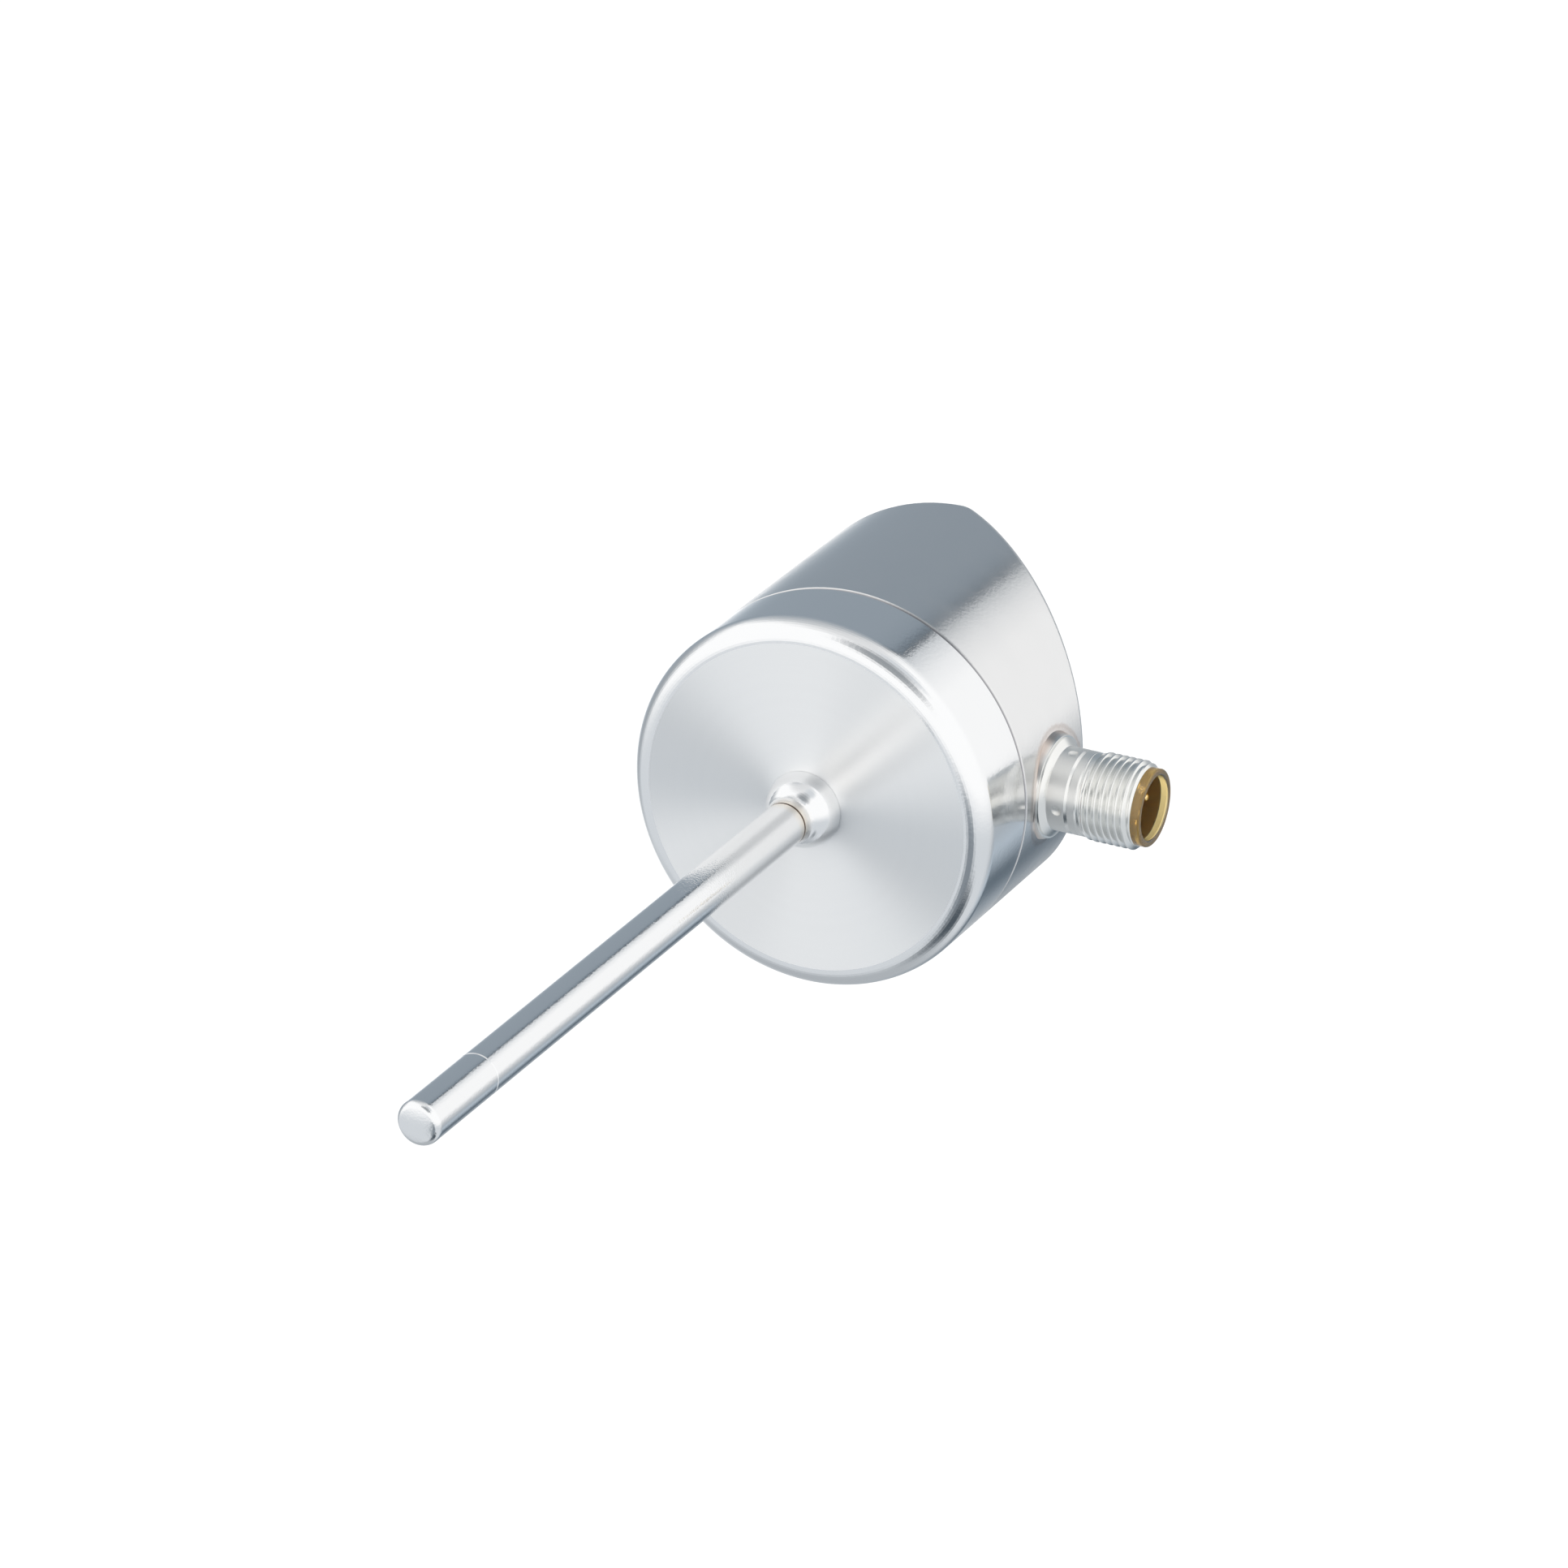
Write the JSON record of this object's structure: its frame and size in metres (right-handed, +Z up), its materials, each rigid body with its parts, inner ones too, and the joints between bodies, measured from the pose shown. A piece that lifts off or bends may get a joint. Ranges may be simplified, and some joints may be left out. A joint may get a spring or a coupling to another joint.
{
  "type": "temperature transmitter",
  "caption": "Stainless steel temperature transmitter with a thin insertion stem on a ball boss, a round housing with a sloped reading face and a threaded plug connector.",
  "frame": {"origin": "centre of the housing's flat front face, on the stem's axis", "axes": "+Y from the front face back along the housing, so the stem points along -Y; +X along the plug connector; +Z up"},
  "size_m": [0.0662, 0.1549, 0.052],
  "materials": {
    "turned_steel": "fine turned face, satin side",
    "shell_steel": "satin, fine grain",
    "polished_steel": "polished",
    "connector_steel": "machined, bright edges",
    "spring_steel": "plain",
    "amber_plastic": "moulded, slightly clear",
    "smoked_window": "smooth and dark",
    "gold_contact": "gold plated",
    "sensor_wire": "nickel plated",
    "seal_rubber": "matt black",
    "ceramic": "unglazed white",
    "filler": "packed powder",
    "ferrite": "matt dark grey",
    "board": "solder resist",
    "black_plastic": "moulded",
    "capacitor_can": "drawn can",
    "flex_film": "thin film",
    "display_glass": "dark display face"
  },
  "bodies": {
    "root": {"front_cap": "turned_steel", "stem_tube": "polished_steel", "stem_tip": "polished_steel", "sensing_element": "ceramic", "heat_filler": "filler", "stem_insulator": "ceramic", "stem_seal": "seal_rubber", "housing_shell": "shell_steel", "board_carrier": "black_plastic", "main_board": "board", "board_clamp_ring": "spring_steel", "processor": "black_plastic", "signal_converter": "black_plastic", "power_inductor": "ferrite", "flex_socket": "black_plastic", "connector_shell": "connector_steel", "contact_carrier": "amber_plastic", "carrier_seal": "seal_rubber", "link_board": "board", "link_block": "black_plastic", "display_window": "smoked_window", "window_seal": "seal_rubber", "display_holder": "black_plastic", "display_board": "board", "display_module": "display_glass", "display_flex": "flex_film", "sensor_wire_1": "sensor_wire", "contact_pin_1": "gold_contact", "sensor_wire_2": "sensor_wire", "contact_pin_2": "gold_contact", "sensor_wire_3": "sensor_wire", "contact_pin_3": "gold_contact", "sensor_wire_4": "sensor_wire", "contact_pin_4": "gold_contact", "capacitor_1": "capacitor_can", "capacitor_2": "capacitor_can", "capacitor_3": "capacitor_can"}
  },
  "joints": []
}
